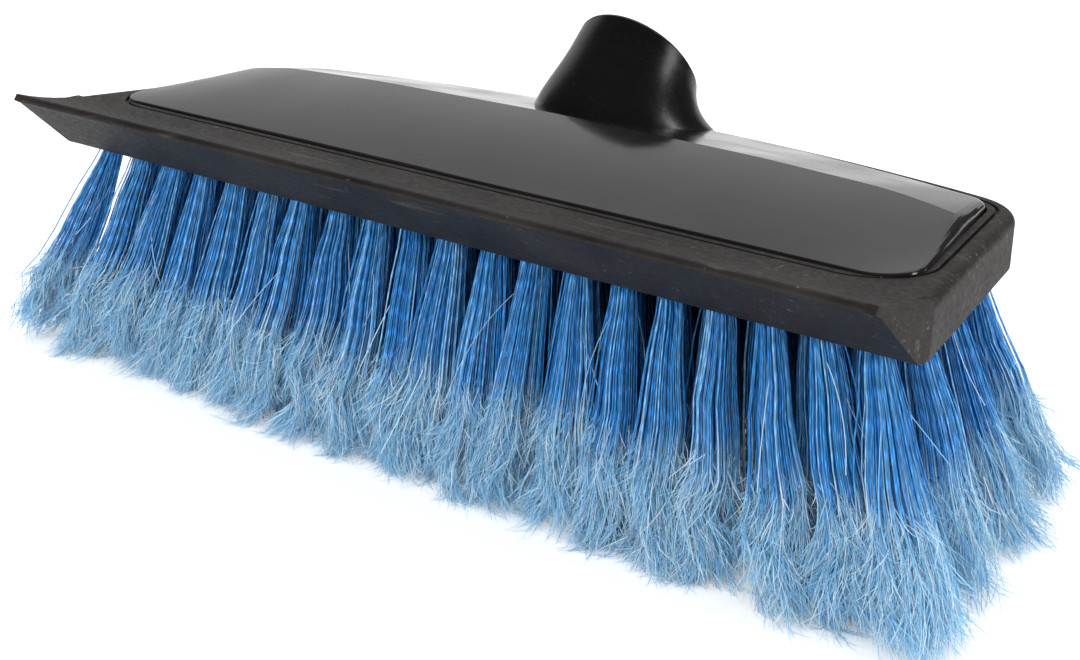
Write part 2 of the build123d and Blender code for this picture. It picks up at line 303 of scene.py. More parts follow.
def tubes(paths, radii, rng):
    """Vertices and faces of many thin three-sided tubes: paths (n, rings, 3), radii (n, rings)."""
    count, rings, _ = paths.shape
    run = np.gradient(paths, axis=1)
    run /= np.linalg.norm(run, axis=2, keepdims=True)
    sideways = np.array((0.0, 1.0, 0.05))
    across = np.cross(run, sideways)
    across /= np.linalg.norm(across, axis=2, keepdims=True)
    other = np.cross(run, across)
    turn = rng.random((count, 1, 1)) * math.tau
    corners = []
    for side in range(TUBE_SIDES):
        angle = turn + math.tau * side / TUBE_SIDES
        corners.append(paths + radii[:, :, None] * (np.cos(angle) * across + np.sin(angle) * other))
    verts = np.stack(corners, axis=2).reshape(-1, 3)
    tube_start = np.arange(count)[:, None, None] * rings * TUBE_SIDES
    first = tube_start + np.arange(rings - 1)[None, :, None] * TUBE_SIDES
    here = np.arange(TUBE_SIDES)[None, None, :]
    following = (here + 1) % TUBE_SIDES
    above = first + TUBE_SIDES
    quads = np.stack((first + here, first + following, above + following, above + here), axis=3)
    return verts, quads.reshape(-1, 4)


def ribbons(paths, widths, rng):
    """Vertices and faces of many flat hairs, each turned its own way."""
    count, rings, _ = paths.shape
    run = np.gradient(paths, axis=1)
    run /= np.linalg.norm(run, axis=2, keepdims=True)
    across = np.cross(run, rng.normal(0, 1, (count, 1, 3)))
    across /= np.linalg.norm(across, axis=2, keepdims=True)
    half = across * widths[:, :, None] / 2
    verts = np.stack((paths - half, paths + half), axis=2).reshape(-1, 3)
    first = (np.arange(count)[:, None] * rings + np.arange(rings - 1)[None, :]) * RIBBON_SIDES
    quads = np.stack((first, first + 1, first + 3, first + 2), axis=2)
    return verts, quads.reshape(-1, 4)


def fibre_object(name, batches, material):
    """One object from batches of (verts, quads, pale, shade, along)."""
    offset = 0
    quads = []
    for batch in batches:
        quads.append(batch[1] + offset)
        offset += len(batch[0])
    verts = np.concatenate([batch[0] for batch in batches]) + FRAME_SHIFT
    verts[:, 0] = limit(verts[:, 0], *FAN_HELD_X)
    verts[:, 1] = limit(verts[:, 1], *FAN_HELD_Y)
    verts[:, 2] = np.maximum(verts[:, 2], GROUND_GAP)
    quads = np.concatenate(quads)
    mesh = bpy.data.meshes.new(name)
    mesh.vertices.add(len(verts))
    mesh.vertices.foreach_set("co", (verts / PER_METRE).astype(np.float32).ravel())
    mesh.loops.add(quads.size)
    mesh.loops.foreach_set("vertex_index", quads.astype(np.int32).ravel())
    mesh.polygons.add(len(quads))
    mesh.polygons.foreach_set("loop_start", np.arange(0, quads.size, 4, dtype=np.int32))
    mesh.update(calc_edges=True)
    mesh.polygons.foreach_set("use_smooth", np.ones(len(quads), dtype=bool))
    for place, label in ((2, "pale"), (3, "shade"), (4, "along")):
        layer = mesh.attributes.new(label, "FLOAT", "POINT")
        values = np.concatenate([batch[place] for batch in batches])
        layer.data.foreach_set("value", values.astype(np.float32))
    mesh.materials.append(material)
    piece = bpy.data.objects.new(name, mesh)
    bpy.context.scene.collection.objects.link(piece)
    return piece


def tuft_paths(x, y, count, spread, rng, wander):
    """Centre lines of one tuft's strands, each ring's share of the way down, and each strand's drop."""
    lean_x, lean_y = tuft_lean(x, y)
    lean_x += rng.normal(0, LEAN_JITTER_X)
    lean_y += rng.normal(0, LEAN_JITTER_Y)
    length = min(math.sqrt(max(STRAND_LENGTH ** 2 - lean_x ** 2 - lean_y ** 2, 1.0)), TUFT_DROP)
    spread *= rng.uniform(*SPREAD_JITTER)
    angle = rng.random(count) * math.tau
    reach = np.sqrt(rng.random(count))
    reach *= np.where(rng.random(count) < OUTLIER_SHARE, OUTLIER_REACH, 1.0)
    unit = on_circle(angle, reach)

    # The tips draw together into a few locks, each of its own length
    locks = rng.integers(*LOCKS_IN_TUFT)
    lock_angle = rng.random(locks) * math.tau
    lock = on_circle(lock_angle, LOCK_NEAREST + LOCK_RANGE * rng.random(locks))
    nearest = np.argmin(np.linalg.norm(unit[:, None] - lock[None], axis=2), axis=1)
    pull = rng.uniform(*LOCK_PULL, locks)[nearest][:, None]
    tip_unit = unit * (1 - pull) + lock[nearest] * pull
    longer = rng.uniform(*LOCK_LONGER, locks)[nearest]
    drop = np.clip(length + longer + rng.normal(0, STRAND_LONGER, count), *STRAND_DROP)

    t = np.linspace(0, 1, STRAND_RINGS)[None, :]
    paths = np.zeros((count, STRAND_RINGS, 3))
    sway = rng.normal(0, SWAY, (count, 1, 2)) * np.sin(math.pi * t)[..., None]
    for axis, start, lean in ((0, x, lean_x), (1, y, lean_y)):
        at_root = HOLE_R * (1 - t) * unit[:, axis:axis + 1]
        at_tip = spread * t ** OPENING_POWER * tip_unit[:, axis:axis + 1]
        paths[:, :, axis] = start + (at_root + at_tip) + lean * t ** LEAN_POWER + sway[:, :, axis]
    paths[:, :, 2] = STRAND_ROOT_Z - drop[:, None] * t
    push = WANDER_SHAFT + WANDER_TIP * smoothstep(*WANDER_TIP_FROM, t)
    held_at_root = np.minimum(1.0, t * ROOT_RELEASE)
    paths += wander(paths) * push[..., None] * held_at_root[..., None]
    return paths, t, drop


def strand_batch(paths, t, drop, rng):
    """The tuft's strands as tubes, blue above and pale at the tips."""
    count = len(paths)
    thinning = 1.0 - STRAND_THINNED * smoothstep(*THINNED_FROM, t)
    radii = rng.uniform(*STRAND_RADIUS, (count, 1)) * thinning
    verts, quads = tubes(paths, radii, rng)
    fade = rng.normal(0, FADE_JITTER, (count, 1)) + rng.normal(0, TUFT_FADE_JITTER)
    pale = smoothstep(*PALE_FROM, t + fade)
    shade = np.repeat(rng.random((count, 1)), STRAND_RINGS, axis=1)
    along = drop[:, None] * t + rng.random() * CRIMP_PITCH
    along = along + rng.normal(0, CRIMP_JITTER, (count, 1))
    return verts, quads, *(spread_out(values, TUBE_SIDES) for values in (pale, shade, along))


def unit_heading(paths, source, ring):
    """The way that the chosen strands run at the chosen rings."""
    heading = paths[source, ring + 1] - paths[source, ring]
    return heading / np.linalg.norm(heading, axis=1, keepdims=True)


def fray_batch(paths, hairs, rng, curl_wander):
    """The short pale hairs that the strands' lower parts fray into."""
    total = len(paths) * hairs
    source = np.repeat(np.arange(len(paths)), hairs)
    start = HAIR_FIRST + HAIR_RANGE * rng.random(total) ** HAIR_CROWDING
    at = start * (STRAND_RINGS - 1)
    ring = np.clip(at.astype(int), 0, STRAND_RINGS - 2)
    mix = (at - ring)[:, None]
    root = paths[source, ring] * (1 - mix) + paths[source, ring + 1] * mix
    heading = unit_heading(paths, source, ring)
    reach = rng.uniform(*HAIR_LENGTH, total)[:, None]
    throw = rng.normal(0, 1.0, (total, 3)) * HAIR_THROW + HAIR_WANDER * curl_wander(root)
    curl = rng.normal(0, 1.0, (total, 3)) * HAIR_CURL
    s = np.linspace(0, 1, HAIR_RINGS)[None, :, None]
    bend = throw[:, None] * s + curl[:, None] * (s * s - 0.5 * s)
    hair = root[:, None] + reach[:, None, :] * (heading[:, None] * s * HAIR_FORWARD + bend)
    lowest = HAIR_LOW_Z - HAIR_LOW_JITTER * rng.random((total, 1))
    hair[:, :, 2] = np.maximum(hair[:, :, 2], lowest)
    width = np.repeat(rng.uniform(*HAIR_WIDTH, (total, 1)), HAIR_RINGS, axis=1)
    width[:, -1] *= HAIR_TIP
    verts, quads = ribbons(hair, width, rng)
    pale = smoothstep(*HAIR_PALE_FROM, start[:, None] + HAIR_PALE_GAIN * s[:, :, 0])
    pale = np.clip(pale + rng.normal(0, HAIR_PALE_JITTER, (total, 1)), 0, 1)
    shade = np.repeat(rng.random((total, 1)), HAIR_RINGS, axis=1)
    along = np.repeat(rng.random((total, 1)) * CRIMP_PITCH, HAIR_RINGS, axis=1)
    return verts, quads, *(spread_out(values, RIBBON_SIDES) for values in (pale, shade, along))


def stray_batch(paths, strays, rng):
    """A few long pale hairs that leave the tuft higher up."""
    source = rng.integers(0, len(paths), strays)
    ring = rng.integers(*STRAY_FROM_RINGS, strays)
    root = paths[source, ring]
    heading = unit_heading(paths, source, ring)
    reach = rng.uniform(*STRAY_LENGTH, strays)[:, None]
    throw = rng.normal(0, 1.0, (strays, 3)) * STRAY_THROW
    curl = rng.normal(0, 1.0, (strays, 3)) * STRAY_CURL
    s = np.linspace(0, 1, STRAY_RINGS)[None, :, None]
    bend = heading[:, None] * s * STRAY_FORWARD + throw[:, None] * s + curl[:, None] * (s * s - s)
    line = root[:, None] + reach[:, None, :] * bend
    line[:, :, 2] = np.maximum(line[:, :, 2], STRAY_LOW_Z)
    verts, quads = ribbons(line, np.full((strays, STRAY_RINGS), STRAY_WIDTH), rng)
    pale = np.repeat(rng.uniform(*STRAY_PALE, (strays, 1)), STRAY_RINGS, axis=1)
    values = spread_out(pale, RIBBON_SIDES)
    return verts, quads, values, values, values


def bristle_row(row, material):
    """The strands of one row of tufts, and its frayed hairs."""
    rng = np.random.default_rng(ROW_SEED + row)
    wander = make_wander(np.random.default_rng(WANDER_SEED), WANDER_LENGTH)
    curl_wander = make_wander(np.random.default_rng(CURL_SEED), CURL_LENGTH)
    places = row_places(row)
    strands, frays = [], []
    for index, (x, y) in enumerate(places):
        from_end = min(index, len(places) - 1 - index)
        outer = row in (0, ROW_COUNT - 1) or from_end == 0
        middle = row in (1, ROW_COUNT - 2) or from_end == 1
        count, hairs, strays = OUTER_TUFT if outer else MIDDLE_TUFT if middle else INNER_TUFT
        spread = TUFT_SPREAD
        if row == 0:
            hairs = FRONT_HAIRS
        if from_end == 0:
            count, spread = END_TUFT_STRANDS, END_TUFT_SPREAD
        paths, t, drop = tuft_paths(x, y, count, spread, rng, wander)
        strands.append(strand_batch(paths, t, drop, rng))
        frays.append(fray_batch(paths, hairs, rng, curl_wander))
        if strays:
            frays.append(stray_batch(paths, strays, rng))
    half = len(frays) // 2 if row == 0 else len(frays)
    pieces = [fibre_object("strands_%d" % (row + 1), strands, material)]
    pieces.append(fibre_object("frays_%d" % (row + 1), frays[:half], material))
    if frays[half:]:
        pieces.append(fibre_object("frays_%d_right" % (row + 1), frays[half:], material))
    for piece in pieces:
        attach(piece, "root")
        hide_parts("tuft_row_%d" % (row + 1))


# Materials
def new_material(name):
    material = bpy.data.materials.new(name)
    material.use_nodes = True
    nodes = material.node_tree.nodes
    return material, nodes, material.node_tree.links, nodes["Principled BSDF"]


def ramp(nodes, stops):
    """Colour ramp with (place, colour) stops, where a plain number is a grey."""
    node = nodes.new("ShaderNodeValToRGB")
    elements = node.color_ramp.elements
    while len(elements) < len(stops):
        elements.new(0.5)
    for element, (place, color) in zip(elements, stops):
        element.position = place
        element.color = (*color, 1) if isinstance(color, tuple) else (color, color, color, 1)
    return node


def noise(nodes, links, scale, detail, roughness, stretch=(1, 1, 1)):
    """Noise on the object's own coordinates, in metres."""
    place = nodes.new("ShaderNodeTexCoord")
    mapping = nodes.new("ShaderNodeMapping")
    mapping.inputs["Scale"].default_value = stretch
    texture = nodes.new("ShaderNodeTexNoise")
    texture.inputs["Scale"].default_value = scale
    texture.inputs["Detail"].default_value = detail
    texture.inputs["Roughness"].default_value = roughness
    links.new(place.outputs["Object"], mapping.inputs["Vector"])
    links.new(mapping.outputs["Vector"], texture.inputs["Vector"])
    return texture


def ranged(nodes, links, value, **limits):
    """A value mapped from one range to another."""
    node = nodes.new("ShaderNodeMapRange")
    for label, number in limits.items():
        node.inputs[label.replace("_", " ").title()].default_value = number
    links.new(value, node.inputs["Value"])
    return node


def calculate(nodes, links, operation, first, second=None):
    """One operation on sockets and plain numbers."""
    node = nodes.new("ShaderNodeMath")
    node.operation = operation
    for place, value in enumerate((first, second)):
        if isinstance(value, (int, float)):
            node.inputs[place].default_value = value
        elif value is not None:
            links.new(value, node.inputs[place])
    return node.outputs[0]


def add_bump(nodes, links, shader, height, distance):
    bump = nodes.new("ShaderNodeBump")
    bump.inputs["Distance"].default_value = distance
    links.new(height, bump.inputs["Height"])
    links.new(bump.outputs["Normal"], shader.inputs["Normal"])


def attribute(nodes, name):
    node = nodes.new("ShaderNodeAttribute")
    node.attribute_name = name
    return node.outputs["Fac"]


def blend_colors(nodes, links, factor, first, second, mode="MIX"):
    mix = nodes.new("ShaderNodeMix")
    mix.data_type = "RGBA"
    mix.blend_type = mode
    for socket, value in (("Factor", factor), ("A", first), ("B", second)):
        if isinstance(value, (int, float, tuple)):
            mix.inputs[socket].default_value = value
        else:
            links.new(value, mix.inputs[socket])
    return mix.outputs["Result"]


def fibre_material():
    """Blue strands of many shades, with a painted highlight at each crimp's crest, that turn pale at the
    tips.
    """
    material, nodes, links, shader = new_material("bristle_fibre")
    shade = attribute(nodes, "shade")
    wave = calculate(nodes, links, "MULTIPLY", attribute(nodes, "along"), math.tau / CRIMP_PITCH)
    crimp = calculate(nodes, links, "SINE", wave)
    level = ranged(nodes, links, crimp, from_min=-1.0)
    # Painted highlight: the blue is lightened at each crimp's crest, where light would glint; the same wave
    # also drives the real bump below
    painted_crest_highlight = ramp(nodes, ((0.0, 0.9), (0.62, 0.97), (1.0, 1.42)))
    links.new(level.outputs["Result"], painted_crest_highlight.inputs["Fac"])
    blues = ramp(nodes, ((0.0, (0.016, 0.20, 0.58)), (0.6, (0.06, 0.37, 0.83)), (1.0, (0.30, 0.64, 0.96))))
    links.new(shade, blues.inputs["Fac"])
    pales = ramp(nodes, ((0.0, (0.18, 0.53, 0.88)), (0.5, (0.39, 0.72, 0.95)), (1.0, (0.82, 0.93, 0.99))))
    links.new(shade, pales.inputs["Fac"])
    blues_with_painted_highlight = blend_colors(nodes, links, 1.0, blues.outputs["Color"], painted_crest_highlight.outputs["Color"], "MULTIPLY")
    faded = blend_colors(nodes, links, attribute(nodes, "pale"), blues_with_painted_highlight, pales.outputs["Color"])
    links.new(faded, shader.inputs["Base Color"])
    add_bump(nodes, links, shader, crimp, distance=0.0004)
    shader.inputs["Roughness"].default_value = 0.36
    shader.inputs["Specular IOR Level"].default_value = 0.55
    return material


def new_group(name, inputs, outputs):
    """Empty shader node group with number inputs and outputs."""
    group = bpy.data.node_groups.new(name, "ShaderNodeTree")
    for label, value in inputs:
        socket = group.interface.new_socket(name=label, in_out="INPUT", socket_type="NodeSocketFloat")
        socket.default_value = value
    for label in outputs:
        group.interface.new_socket(name=label, in_out="OUTPUT", socket_type="NodeSocketFloat")
    return group, group.nodes.new("NodeGroupInput"), group.nodes.new("NodeGroupOutput")


def grain_group():
    """Fine grain of a moulded or plated surface, as a roughness and a height."""
    knobs = (("Scale", 100.0), ("Detail", 4.0), ("Smooth", 0.3), ("Rough", 0.5))
    group, given, result = new_group("surface_grain", knobs, ("Roughness", "Height"))
    nodes, links = group.nodes, group.links
    place = nodes.new("ShaderNodeTexCoord")
    texture = nodes.new("ShaderNodeTexNoise")
    links.new(place.outputs["Object"], texture.inputs["Vector"])
    links.new(given.outputs["Scale"], texture.inputs["Scale"])
    links.new(given.outputs["Detail"], texture.inputs["Detail"])
    level = ranged(nodes, links, texture.outputs["Fac"], from_min=0.3, from_max=0.7)
    links.new(given.outputs["Smooth"], level.inputs["To Min"])
    links.new(given.outputs["Rough"], level.inputs["To Max"])
    links.new(level.outputs["Result"], result.inputs["Roughness"])
    links.new(texture.outputs["Fac"], result.inputs["Height"])
    return group


def dust_group():
    """Dust specks that lie in patches, as a mask."""
    group, given, result = new_group("dust_specks", (("Scale", DUST_SCALE), ("Amount", 1.0)), ("Mask",))
    nodes, links = group.nodes, group.links
    place = nodes.new("ShaderNodeTexCoord")
    specks = nodes.new("ShaderNodeTexNoise")
    specks.inputs["Detail"].default_value = 1.0
    links.new(place.outputs["Object"], specks.inputs["Vector"])
    links.new(given.outputs["Scale"], specks.inputs["Scale"])
    patches = nodes.new("ShaderNodeTexNoise")
    patches.inputs["Scale"].default_value = 70.0
    links.new(place.outputs["Object"], patches.inputs["Vector"])
    speck = ranged(nodes, links, specks.outputs["Fac"], from_min=0.68, from_max=0.73)
    patch = ranged(nodes, links, patches.outputs["Fac"], from_min=0.42, from_max=0.62)
    both = calculate(nodes, links, "MULTIPLY", speck.outputs["Result"], patch.outputs["Result"])
    mask = calculate(nodes, links, "MULTIPLY", both, given.outputs["Amount"])
    links.new(mask, result.inputs["Mask"])
    return group


def place_group(nodes, group, values):
    node = nodes.new("ShaderNodeGroup")
    node.node_tree = group
    for label, value in values.items():
        node.inputs[label].default_value = value
    return node.outputs


def add_grain(nodes, links, shader, scale, detail, smooth, rough, height):
    """Puts the surface grain on a shader, between a smooth and a rough roughness."""
    grain = place_group(nodes, GRAIN, {"Scale": scale, "Detail": detail, "Smooth": smooth, "Rough": rough})
    links.new(grain["Roughness"], shader.inputs["Roughness"])
    add_bump(nodes, links, shader, grain["Height"], height)


def moulding_material(name, dark, light, dust, patch_scale):
    """Black moulding, slightly uneven in colour, with a little dust."""
    material, nodes, links, shader = new_material(name)
    body = ramp(nodes, ((0.3, dark), (0.7, light)))
    patches = noise(nodes, links, patch_scale, detail=5, roughness=0.6)
    links.new(patches.outputs["Fac"], body.inputs["Fac"])
    specks = place_group(nodes, DUST, {"Scale": DUST_SCALE, "Amount": dust})
    dusty = blend_colors(nodes, links, specks["Mask"], body.outputs["Color"], DUST_COLOR)
    links.new(dusty, shader.inputs["Base Color"])
    return material, nodes, links, shader


def cover_material():
    """Glossy black with faint handling marks."""
    dark, light = (0.009, 0.0082, 0.009), (0.015, 0.0135, 0.0145)
    material, nodes, links, shader = moulding_material("gloss_black", dark, light, dust=0.05, patch_scale=30)
    add_grain(nodes, links, shader, scale=52.0, detail=3.0, smooth=0.08, rough=0.19, height=0.00012)
    return material


def hood_material():
    """Satin black."""
    dark, light = (0.0035, 0.0035, 0.0038), (0.0055, 0.0054, 0.0055)
    material, nodes, links, shader = moulding_material("satin_black", dark, light, dust=0.05, patch_scale=60)
    add_grain(nodes, links, shader, scale=500.0, detail=5.0, smooth=0.25, rough=0.31, height=0.00003)
    shader.inputs["Specular IOR Level"].default_value = 0.42
    return material


def rubber_material():
    """Dull moulded rubber, unevenly brown-black, with dust and scuffs along the blade."""
    dark, light = (0.0095, 0.0078, 0.0072), (0.030, 0.0243, 0.0216)
    material, nodes, links, shader = moulding_material("dull_rubber", dark, light, dust=0.5, patch_scale=34)
    base = shader.inputs["Base Color"].links[0].from_socket
    scuffs = ramp(nodes, ((0.64, 0.0), (0.72, 0.3)))
    streaks = noise(nodes, links, scale=240, detail=3, roughness=0.55, stretch=(0.12, 1, 1))
    links.new(streaks.outputs["Fac"], scuffs.inputs["Fac"])
    scuffed = blend_colors(nodes, links, scuffs.outputs["Color"], base, SCUFF_COLOR)
    links.new(scuffed, shader.inputs["Base Color"])
    add_grain(nodes, links, shader, scale=800.0, detail=5.0, smooth=0.5, rough=0.68, height=0.00005)
    shader.inputs["Specular IOR Level"].default_value = 0.27
    return material


def block_material():
    """Matt black moulding of the lower block."""
    dark, light = (0.008, 0.008, 0.0085), (0.016, 0.0155, 0.016)
    material, nodes, links, shader = moulding_material("block_black", dark, light, dust=0.3, patch_scale=150)
    add_grain(nodes, links, shader, scale=1000.0, detail=3.0, smooth=0.42, rough=0.6, height=0.00006)
    return material


def steel_material():
    """Bright plated steel of the screws and staples."""
    material, nodes, links, shader = new_material("plated_steel")
    tint = ramp(nodes, ((0.3, (0.46, 0.46, 0.47)), (0.7, (0.62, 0.62, 0.63))))
    patches = noise(nodes, links, scale=700, detail=3, roughness=0.6)
    links.new(patches.outputs["Fac"], tint.inputs["Fac"])
    links.new(tint.outputs["Color"], shader.inputs["Base Color"])
    shader.inputs["Metallic"].default_value = 1.0
    add_grain(nodes, links, shader, scale=1500.0, detail=3.0, smooth=0.22, rough=0.42, height=0.00002)
    return material


GRAIN = grain_group()
DUST = dust_group()


# Rigid pieces
def finish_node(node, material):
    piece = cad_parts[node]
    piece.data.materials.clear()
    piece.data.materials.append(material)


def claim(piece, node, material):
    piece.data.materials.clear()
    piece.data.materials.append(material)
    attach(piece, "root")
    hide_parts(node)


def only(piece):
    bpy.ops.object.select_all(action="DESELECT")
    piece.select_set(True)
    bpy.context.view_layer.objects.active = piece


def edit(piece):
    """Opens one piece for modelling, with all of it selected."""
    only(piece)
    bpy.ops.object.mode_set(mode="EDIT")
    bpy.ops.mesh.select_all(action="SELECT")


def close():
    """Ends the modelling of the open piece."""
    bpy.ops.object.mode_set(mode="OBJECT")


def build_surround(material):
    """The rubber moulding: a copy of the CAD piece, merged, with the blade's long edges softened."""
    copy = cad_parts["squeegee_surround"].data.copy()
    piece = bpy.data.objects.new("rubber_surround", copy)
    bpy.context.scene.collection.objects.link(piece)
    edit(piece)
    bpy.ops.mesh.remove_doubles(threshold=MERGE_GAP / PER_METRE)
    bpy.ops.mesh.dissolve_limited(angle_limit=math.radians(0.6))
    for side in (-1, 1):
        bpy.ops.mesh.select_all(action="SELECT")
        bpy.ops.mesh.bisect(plane_co=(side * BLADE_SOFT_X / PER_METRE, 0, 0), plane_no=(1, 0, 0))
    bpy.ops.mesh.select_all(action="DESELECT")
    close()
    points = np.array([vertex.co[:] for vertex in copy.vertices]) * PER_METRE - FRAME_SHIFT
    for edge in copy.edges:
        ends = points[list(edge.vertices)]
        middle = ends.mean(axis=0)
        long = np.linalg.norm(ends[0] - ends[1]) > BLADE_EDGE_LENGTH and abs(middle[0]) < 1
        at_tip = middle[1] < BLADE_TIP_Y
        at_root = middle[1] < BLADE_ROOT_Y and middle[2] < BLADE_ROOT_Z
        edge.select = bool(long and (at_tip or at_root))
    bpy.ops.object.mode_set(mode="EDIT")
    bpy.ops.mesh.select_mode(type="EDGE")
    bpy.ops.mesh.bevel(offset=BLADE_EDGE_R / PER_METRE, segments=3, clamp_overlap=False)
    bpy.ops.mesh.select_mode(type="VERT")
    close()
    bpy.ops.object.shade_smooth_by_angle(angle=math.radians(30))
    claim(piece, "squeegee_surround", material)


def back_edge(x):
    """The cover's bowed back edge."""
    return COVER_BACK_Y - COVER_BACK_BOW * x * x


def roof_height(x, y):
    """Height of the crowned roof, with the ridge line smoothed along its length."""
    reach, step, smoothed = 140.0, 0.5, 37
    grid = np.arange(-reach, reach + step, step)
    shares = np.array(RIDGE_SHARES)
    rise = np.interp(np.abs(grid) / COVER_FRONT_HALF, shares[:, 0], shares[:, 1]) * (RIDGE_Z - PLATE_RIM_Z)
    kernel = np.hanning(smoothed)
    rise = np.convolve(np.pad(rise, smoothed // 2, mode="edge"), kernel / kernel.sum(), mode="valid")
    height = np.interp(x, grid, rise)
    back_y = back_edge(x)
    climb = (y - COVER_FRONT_Y) / (RIDGE_Y - COVER_FRONT_Y)
    front = PLATE_RIM_Z + height * climb * (1 + FRONT_CROWN * (1 - climb))
    back = PLATE_BACK_Z + (height + PLATE_RIM_Z - PLATE_BACK_Z) * (back_y - y) / (back_y - RIDGE_Y)
    return np.where(y < RIDGE_Y, front, back)


def corner_arc(before, corner, after, radius, count):
    """Points of a rounded corner between two straight runs."""
    corner = np.array(corner, dtype=float)
    way_in = np.array(before, dtype=float) - corner
    way_out = np.array(after, dtype=float) - corner
    way_in /= np.linalg.norm(way_in)
    way_out /= np.linalg.norm(way_out)
    half = math.acos(np.clip(np.dot(way_in, way_out), -1, 1)) / 2
    middle = (way_in + way_out) / np.linalg.norm(way_in + way_out)
    centre = corner + middle * radius / math.sin(half)
    first = corner + way_in * radius / math.tan(half) - centre
    last = corner + way_out * radius / math.tan(half) - centre
    start = math.atan2(first[1], first[0])
    sweep = (math.atan2(last[1], last[0]) - start + math.pi) % math.tau - math.pi
    angles = start + sweep * np.linspace(0, 1, count)
    return [tuple(centre + radius * np.array((math.cos(angle), math.sin(angle)))) for angle in angles]


def cover_outline():
    """The cover's outline from above, as points."""
    arc = [(x, back_edge(x)) for x in np.linspace(COVER_BACK_HALF, -COVER_BACK_HALF, BACK_POINTS)]
    half = COVER_FRONT_HALF + COVER_GROW
    front = [(-half, COVER_FRONT_Y), (half, COVER_FRONT_Y)]
    points = corner_arc(arc[-1], front[0], front[1], FRONT_CORNER_R, FRONT_CORNER_POINTS)
    points += corner_arc(front[0], front[1], arc[0], FRONT_CORNER_R, FRONT_CORNER_POINTS)
    points += corner_arc(front[1], arc[0], arc[1], BACK_CORNER_R, BACK_CORNER_POINTS)
    points += arc[CORNER_TRIM:-CORNER_TRIM]
    points += corner_arc(arc[-2], arc[-1], front[0], BACK_CORNER_R, BACK_CORNER_POINTS)
    return np.array(points)


def distance_to(outline, points):
    """Each point's distance from a closed outline."""
    first = outline[None]
    step = np.roll(outline, -1, axis=0)[None] - first
    share = np.sum((points[:, None] - first) * step, axis=2) / np.sum(step * step, axis=2)
    nearest = first + np.clip(share, 0, 1)[..., None] * step
    return np.linalg.norm(points[:, None] - nearest, axis=2).min(axis=1)


def cut_sheet(outline):
    """A flat sheet in the cover's outline, inset along its rim and cut into strips."""
    bpy.ops.object.select_all(action="DESELECT")
    bpy.ops.mesh.primitive_circle_add(vertices=len(outline), radius=1.0, fill_type="NGON")
    cover = bpy.context.object
    cover.name = "cover_shell"
    for vertex, (x, y) in zip(cover.data.vertices, outline):
        vertex.co = (x / PER_METRE, y / PER_METRE, 0)
    edit(cover)
    for step in RIM_INSETS:
        bpy.ops.mesh.inset(thickness=step / PER_METRE, use_even_offset=True)
    cuts_x = np.arange(-STRIP_END_X, STRIP_END_X + 1, STRIP_WIDTH)
    cuts_y = (*np.arange(-STRIP_END_Y, STRIP_END_Y + 1, STRIP_DEPTH), LAST_CUT_Y)
    cuts = [((x / PER_METRE, 0, 0), (1, 0, 0)) for x in cuts_x]
    cuts += [((0, y / PER_METRE, 0), (0, 1, 0)) for y in cuts_y]
    for place, normal in cuts:
        bpy.ops.mesh.select_all(action="SELECT")
        bpy.ops.mesh.bisect(plane_co=place, plane_no=normal)
    close()
    return cover


def raise_roof(mesh, outline):
    """Raises a flat sheet to the roof and rounds it down to its rim."""
    points = np.zeros(len(mesh.vertices) * 3, dtype=np.float32)
    mesh.vertices.foreach_get("co", points)
    points = points.reshape(-1, 3)[:, :2].astype(float) * PER_METRE
    depth = distance_to(outline, points)
    roof = roof_height(points[:, 0], points[:, 1])
    width = np.clip(RIM_ROUNDING * (roof - RIM_FOOT_Z), RIM_NARROWEST, RIM_WIDEST)
    share = np.clip(depth / width, 0, 1)
    height = RIM_FOOT_Z + (roof - RIM_FOOT_Z) * np.sqrt(1 - (1 - share) ** 2)
    placed = (np.stack((points[:, 0], points[:, 1], height), axis=1) + FRAME_SHIFT) / PER_METRE
    mesh.vertices.foreach_set("co", placed.astype(np.float32).ravel())
    mesh.update()


def build_cover(material):
    """Thin crowned shell with a skirt that goes down into the rubber's groove."""
    outline = cover_outline()
    cover = cut_sheet(outline)
    raise_roof(cover.data, outline)
    edit(cover)
    bpy.ops.mesh.select_all(action="DESELECT")
    bpy.ops.mesh.select_mode(type="EDGE")
    bpy.ops.mesh.select_non_manifold(extend=False)
    skirt = (0, 0, -(RIM_FOOT_Z - SKIRT_Z) / PER_METRE)
    bpy.ops.mesh.extrude_region_move(TRANSFORM_OT_translate={"value": skirt})
    bpy.ops.mesh.select_mode(type="VERT")
    close()
    wall = cover.modifiers.new("wall", "SOLIDIFY")
    wall.thickness = COVER_WALL / PER_METRE
    wall.offset = -1.0
    bpy.ops.object.modifier_apply(modifier="wall")
    bpy.ops.object.shade_smooth_by_angle(angle=math.radians(9))
    claim(cover, "top_cover", material)


